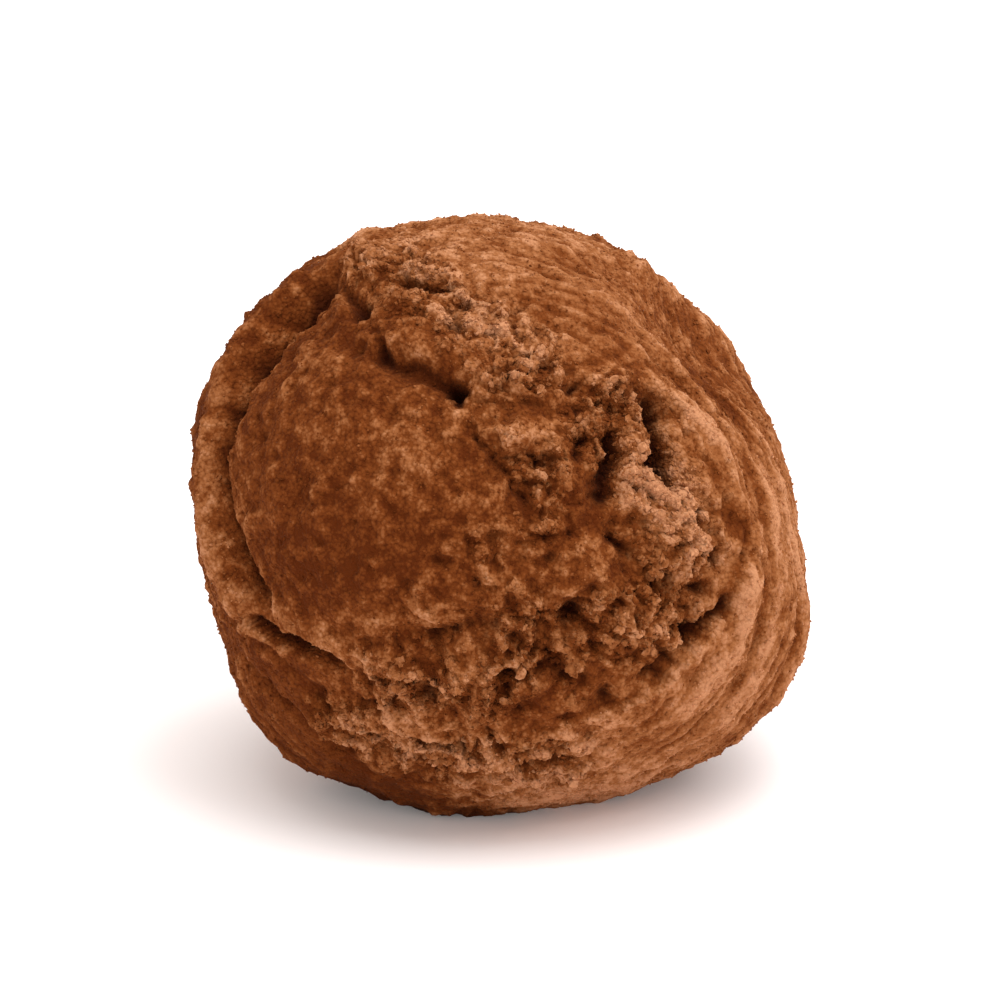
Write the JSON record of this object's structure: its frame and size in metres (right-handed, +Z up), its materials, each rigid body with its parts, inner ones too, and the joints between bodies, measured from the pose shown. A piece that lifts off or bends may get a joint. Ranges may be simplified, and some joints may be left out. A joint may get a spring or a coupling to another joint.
{
  "type": "chocolate truffle",
  "caption": "Uneven round chocolate truffle in a craggy crust of cocoa powder, pressed flat underneath where it rests.",
  "frame": {"origin": "middle of the truffle's outline, on the face that it rests on", "axes": "+Z up from the resting face, +X to the truffle's right seen from the front, -Y its front"},
  "size_m": [0.027, 0.026, 0.025],
  "materials": {
    "cocoa_crust": "matte cocoa powder over a rough chocolate crust"
  },
  "bodies": {
    "root": {"truffle": "cocoa_crust"}
  },
  "joints": []
}
